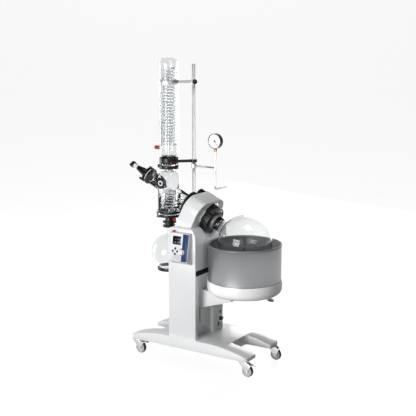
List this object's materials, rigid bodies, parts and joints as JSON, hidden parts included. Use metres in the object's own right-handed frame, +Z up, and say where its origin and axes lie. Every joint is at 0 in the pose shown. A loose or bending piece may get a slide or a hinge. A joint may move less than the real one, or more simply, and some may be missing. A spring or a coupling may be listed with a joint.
{
  "type": "rotary evaporator",
  "caption": "Floor-standing rotary evaporator: slanted drive head with a round flask over a lifting water bath, coil condenser, receiver flask and control box on a wheeled base.",
  "frame": {"origin": "on the floor under the middle of the whole machine", "axes": "+Z up, -Y towards the control box's front, +X towards the heating bath"},
  "size_m": [1.1538, 0.5393, 1.985],
  "materials": {
    "white_paint": "white powder coat, satin",
    "pot_steel": "grey coated steel, satin",
    "steel": "bare steel",
    "chrome": "polished rod",
    "black_plastic": "black moulded plastic",
    "white_plastic": "white moulded plastic",
    "blue_panel": "printed face plate",
    "display": "dark display window",
    "red_plastic": "red moulded plastic",
    "glass": "clear borosilicate glass",
    "aluminium": "cast aluminium",
    "rubber": "black rubber",
    "brass": "brass fitting"
  },
  "bodies": {
    "stand": {"base_frame": "white_paint", "tower_shell": "white_paint", "rear_cover": "white_paint", "service_box": "white_paint", "head_housing": "white_paint", "control_box": "white_paint", "tube_bearings": "steel", "lift_actuator": "steel", "cooling_coils": "steel", "support_rod": "chrome", "seal_collar": "black_plastic", "condenser_flange": "black_plastic", "manifold_flanges": "black_plastic", "port_cap": "black_plastic", "receiver_valve": "black_plastic", "receiver_cradle": "black_plastic", "feed_flange": "black_plastic", "feed_valve": "white_plastic", "panel_face": "blue_panel", "panel_display": "display", "condenser_jacket": "glass", "glass_manifold": "glass", "receiver_flask": "glass", "drive_motor": "aluminium", "condenser_clamp": "aluminium", "gauge_case": "aluminium", "drive_belt": "rubber", "gauge_stand": "brass"},
    "rotor": {"rotary_tube": "steel", "flask_collar": "black_plastic", "collar_lever": "steel", "evaporating_flask": "glass"},
    "motor_rotor": {"motor_pulley": "steel"},
    "bath": {"bath_pot": "pot_steel", "bath_skirt": "white_paint", "bath_heater": "steel", "bath_carriage": "white_paint", "drain_valve": "brass"},
    "drain_lever": {"drain_lever": "black_plastic"},
    "main_switch": {"main_switch": "black_plastic"},
    "power_switch": {"power_switch": "black_plastic"},
    "speed_knob": {"speed_knob": "white_plastic"},
    "stop_button": {"stop_button": "red_plastic"},
    "clamp_knob": {"clamp_knob": "black_plastic"},
    "vent_knob": {"vent_knob": "red_plastic"},
    "receiver_knob": {"receiver_knob": "red_plastic"},
    "feed_knob": {"feed_knob": "black_plastic"},
    "gauge_needle": {"gauge_needle": "red_plastic"},
    "caster_fork_front_left": {"caster_fork_front_left": "steel"},
    "caster_wheel_front_left": {"caster_wheel_front_left": "rubber"},
    "caster_pedal_front_left": {"caster_pedal_front_left": "steel"},
    "caster_fork_front_right": {"caster_fork_front_right": "steel"},
    "caster_wheel_front_right": {"caster_wheel_front_right": "rubber"},
    "caster_pedal_front_right": {"caster_pedal_front_right": "steel"},
    "caster_fork_rear_left": {"caster_fork_rear_left": "steel"},
    "caster_wheel_rear_left": {"caster_wheel_rear_left": "rubber"},
    "caster_pedal_rear_left": {"caster_pedal_rear_left": "steel"},
    "caster_fork_rear_right": {"caster_fork_rear_right": "steel"},
    "caster_wheel_rear_right": {"caster_wheel_rear_right": "rubber"},
    "caster_pedal_rear_right": {"caster_pedal_rear_right": "steel"}
  },
  "joints": [
    {"name": "flask_spin", "type": "hinge", "parent": "stand", "child": "rotor", "pos_m": [0.334, 0, 0.826], "axis": [-0.8996, 0, 0.4368], "continuous": true},
    {"name": "motor_spin", "type": "hinge", "parent": "stand", "child": "motor_rotor", "pos_m": [0.35497, 0.112, 0.86918], "axis": [-0.8996, 0, 0.4368], "continuous": true},
    {"name": "bath_lift", "type": "slide", "parent": "stand", "child": "bath", "axis": [0, 0, 1], "range_m": [-0.11, 0]},
    {"name": "drain_turn", "type": "hinge", "parent": "bath", "child": "drain_lever", "pos_m": [0.512, 0, 0.468], "axis": [0, 1, 0], "range_deg": [0, 90]},
    {"name": "main_switch_turn", "type": "hinge", "parent": "stand", "child": "main_switch", "pos_m": [0.086, 0.098, 0.247], "axis": [1, 0, 0], "range_deg": [0, 90]},
    {"name": "power_rocker", "type": "hinge", "parent": "stand", "child": "power_switch", "pos_m": [0.074, 0.098, 0.294], "axis": [0, 1, 0], "range_deg": [0, 14]},
    {"name": "speed_turn", "type": "hinge", "parent": "stand", "child": "speed_knob", "pos_m": [0.0135, -0.25674, 0.76589], "axis": [0, -0.9865, 0.1635], "continuous": true},
    {"name": "stop_press", "type": "slide", "parent": "stand", "child": "stop_button", "axis": [0, 0, 1], "range_m": [-0.003, 0], "stiffness_N_per_m": 900},
    {"name": "clamp_screw", "type": "hinge", "parent": "stand", "child": "clamp_knob", "pos_m": [-0.142, 0.123, 1.829], "axis": [0.7275, -0.6861, 0], "continuous": true},
    {"name": "vent_turn", "type": "hinge", "parent": "stand", "child": "vent_knob", "pos_m": [-0.258, 0, 1.39], "axis": [-1, 0, 0], "continuous": true},
    {"name": "receiver_turn", "type": "hinge", "parent": "stand", "child": "receiver_knob", "pos_m": [-0.258, 0, 0.912], "axis": [1, 0, 0], "continuous": true},
    {"name": "feed_turn", "type": "hinge", "parent": "stand", "child": "feed_knob", "pos_m": [-0.54757, 0, 1.25407], "axis": [-0.8996, 0, 0.4368], "continuous": true},
    {"name": "gauge_read", "type": "hinge", "parent": "stand", "child": "gauge_needle", "pos_m": [0.029, 0.123, 1.444], "axis": [0, -1, 0], "range_deg": [0, 280]},
    {"name": "caster_swivel_front_left", "type": "hinge", "parent": "stand", "child": "caster_fork_front_left", "pos_m": [-0.402, -0.186, 0.09], "axis": [0, 0, 1], "continuous": true},
    {"name": "caster_roll_front_left", "type": "hinge", "parent": "caster_fork_front_left", "child": "caster_wheel_front_left", "pos_m": [-0.372, -0.186, 0.0375], "axis": [0, 1, 0], "continuous": true},
    {"name": "caster_brake_front_left", "type": "hinge", "parent": "caster_fork_front_left", "child": "caster_pedal_front_left", "pos_m": [-0.348, -0.186, 0.077], "axis": [0, 1, 0], "range_deg": [0, 14]},
    {"name": "caster_swivel_front_right", "type": "hinge", "parent": "stand", "child": "caster_fork_front_right", "pos_m": [0.44, -0.186, 0.09], "axis": [0, 0, 1], "continuous": true},
    {"name": "caster_roll_front_right", "type": "hinge", "parent": "caster_fork_front_right", "child": "caster_wheel_front_right", "pos_m": [0.47, -0.186, 0.0375], "axis": [0, 1, 0], "continuous": true},
    {"name": "caster_brake_front_right", "type": "hinge", "parent": "caster_fork_front_right", "child": "caster_pedal_front_right", "pos_m": [0.494, -0.186, 0.077], "axis": [0, 1, 0], "range_deg": [0, 14]},
    {"name": "caster_swivel_rear_left", "type": "hinge", "parent": "stand", "child": "caster_fork_rear_left", "pos_m": [-0.402, 0.186, 0.09], "axis": [0, 0, 1], "continuous": true},
    {"name": "caster_roll_rear_left", "type": "hinge", "parent": "caster_fork_rear_left", "child": "caster_wheel_rear_left", "pos_m": [-0.372, 0.186, 0.0375], "axis": [0, 1, 0], "continuous": true},
    {"name": "caster_brake_rear_left", "type": "hinge", "parent": "caster_fork_rear_left", "child": "caster_pedal_rear_left", "pos_m": [-0.348, 0.186, 0.077], "axis": [0, 1, 0], "range_deg": [0, 14]},
    {"name": "caster_swivel_rear_right", "type": "hinge", "parent": "stand", "child": "caster_fork_rear_right", "pos_m": [0.44, 0.186, 0.09], "axis": [0, 0, 1], "continuous": true},
    {"name": "caster_roll_rear_right", "type": "hinge", "parent": "caster_fork_rear_right", "child": "caster_wheel_rear_right", "pos_m": [0.47, 0.186, 0.0375], "axis": [0, 1, 0], "continuous": true},
    {"name": "caster_brake_rear_right", "type": "hinge", "parent": "caster_fork_rear_right", "child": "caster_pedal_rear_right", "pos_m": [0.494, 0.186, 0.077], "axis": [0, 1, 0], "range_deg": [0, 14]}
  ],
  "couplings": [
    {"joint": "motor_spin", "follows": "flask_spin", "ratio": 2.5}
  ]
}
